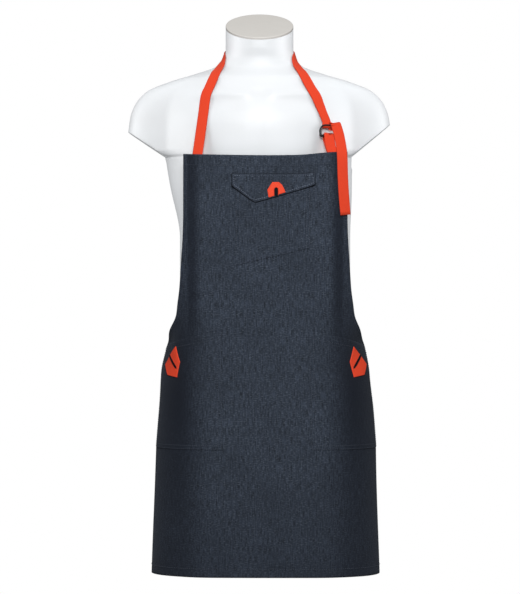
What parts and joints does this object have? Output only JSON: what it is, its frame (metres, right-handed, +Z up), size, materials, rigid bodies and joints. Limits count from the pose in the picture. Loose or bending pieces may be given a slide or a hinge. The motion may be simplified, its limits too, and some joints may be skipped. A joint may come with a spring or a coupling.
{
  "type": "bib apron on a display torso",
  "caption": "Denim bib apron with webbing neck strap, D-ring adjuster and flap pocket, worn by a headless display torso that stands on a pole socket.",
  "frame": {"origin": "on the axis of the stand socket, where it meets the underside of the torso", "axes": "+Z up, the apron's front faces -Y, +X to the right of someone who looks at the front"},
  "size_m": [0.4949, 0.2556, 1.0576],
  "materials": {
    "form_white": "satin",
    "cap_grey": "matt",
    "plate_grey": "matt",
    "socket_steel": "powder coated",
    "screw_steel": "zinc plated",
    "denim": "twill denim",
    "orange_cloth": "plain weave",
    "orange_webbing": "woven webbing",
    "ring_black": "black plated"
  },
  "bodies": {
    "worn_apron": {"torso_shell": "form_white", "neck_cap": "cap_grey", "base_plate": "plate_grey", "stand_socket": "socket_steel", "socket_screws": "screw_steel", "apron_panel": "denim", "chest_pocket": "denim", "hip_pocket_left": "denim", "hip_pocket_right": "denim", "hip_patch_left": "orange_cloth", "hip_patch_right": "orange_cloth", "neck_strap": "orange_webbing", "ring_loop": "orange_webbing", "ring_back": "ring_black", "waist_tie_left": "orange_webbing", "waist_tie_right": "orange_webbing", "waist_knot": "orange_webbing"},
    "pocket_flap": {"chest_pocket_flap": "denim", "flap_patch": "orange_cloth"},
    "free_tail": {"strap_tail": "orange_webbing"},
    "front_ring": {"ring_front": "ring_black"},
    "left_bow": {"bow_loop_left": "orange_webbing"},
    "right_bow": {"bow_loop_right": "orange_webbing"},
    "tie_ends": {"tie_end_left": "orange_webbing", "tie_end_right": "orange_webbing"}
  },
  "joints": [
    {"name": "flap_lift", "type": "hinge", "parent": "worn_apron", "child": "pocket_flap", "pos_m": [0.0155, -0.1245, 0.5668], "axis": [-1, 0, 0], "range_deg": [0, 90]},
    {"name": "tail_swing", "type": "hinge", "parent": "worn_apron", "child": "free_tail", "pos_m": [0.12946, -0.08819, 0.66463], "axis": [-0.9703, -0.2419, 0], "range_deg": [0, 70]},
    {"name": "ring_tip", "type": "hinge", "parent": "worn_apron", "child": "front_ring", "pos_m": [0.11649, -0.10023, 0.6376], "axis": [0.9703, 0.2419, 0], "range_deg": [0, 5]},
    {"name": "left_bow_swing", "type": "hinge", "parent": "worn_apron", "child": "left_bow", "pos_m": [-0.018, 0.119, 0.194], "axis": [1, 0, 0], "range_deg": [0, 30]},
    {"name": "right_bow_swing", "type": "hinge", "parent": "worn_apron", "child": "right_bow", "pos_m": [0.018, 0.119, 0.194], "axis": [1, 0, 0], "range_deg": [0, 30]},
    {"name": "ends_swing", "type": "hinge", "parent": "worn_apron", "child": "tie_ends", "pos_m": [0, 0.1198, 0.1808], "axis": [1, 0, 0], "range_deg": [0, 75]}
  ]
}
